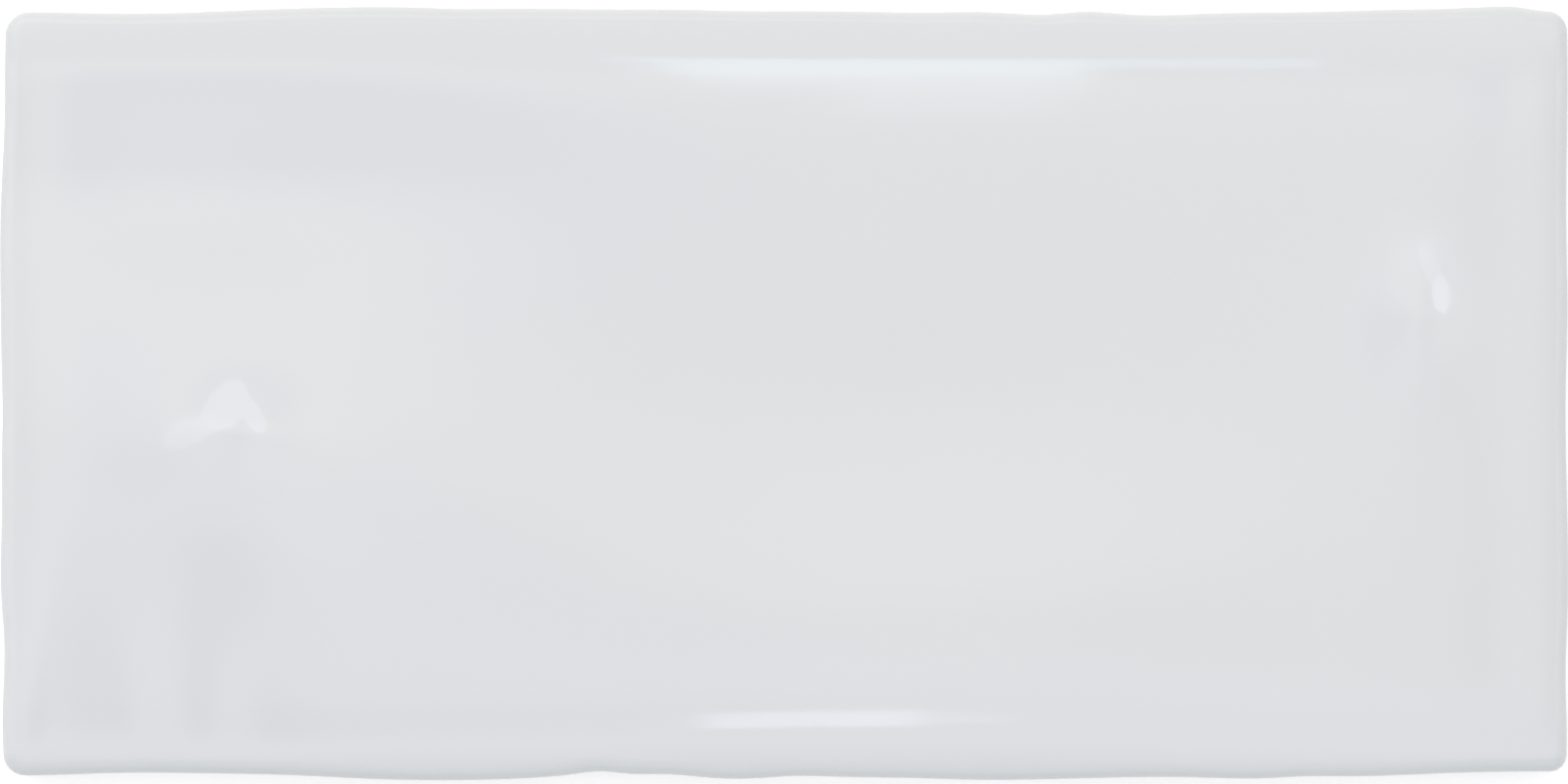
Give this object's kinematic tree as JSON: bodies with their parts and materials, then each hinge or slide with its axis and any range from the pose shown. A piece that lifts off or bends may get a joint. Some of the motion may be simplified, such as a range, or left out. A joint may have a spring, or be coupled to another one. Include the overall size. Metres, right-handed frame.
{
  "type": "ceramic wall tile",
  "caption": "Rectangular glazed ceramic wall tile with hand-made look: wavy edges, softly undulating gloss face and a back with shallow keying pockets.",
  "frame": {"origin": "on the back's plane, below the middle of the tile", "axes": "+X along the long side, +Y along the short side, +Z out of the glazed face"},
  "size_m": [0.15, 0.074, 0.008],
  "materials": {
    "white_glaze": "gloss"
  },
  "bodies": {
    "root": {"tile": "white_glaze"}
  },
  "joints": []
}
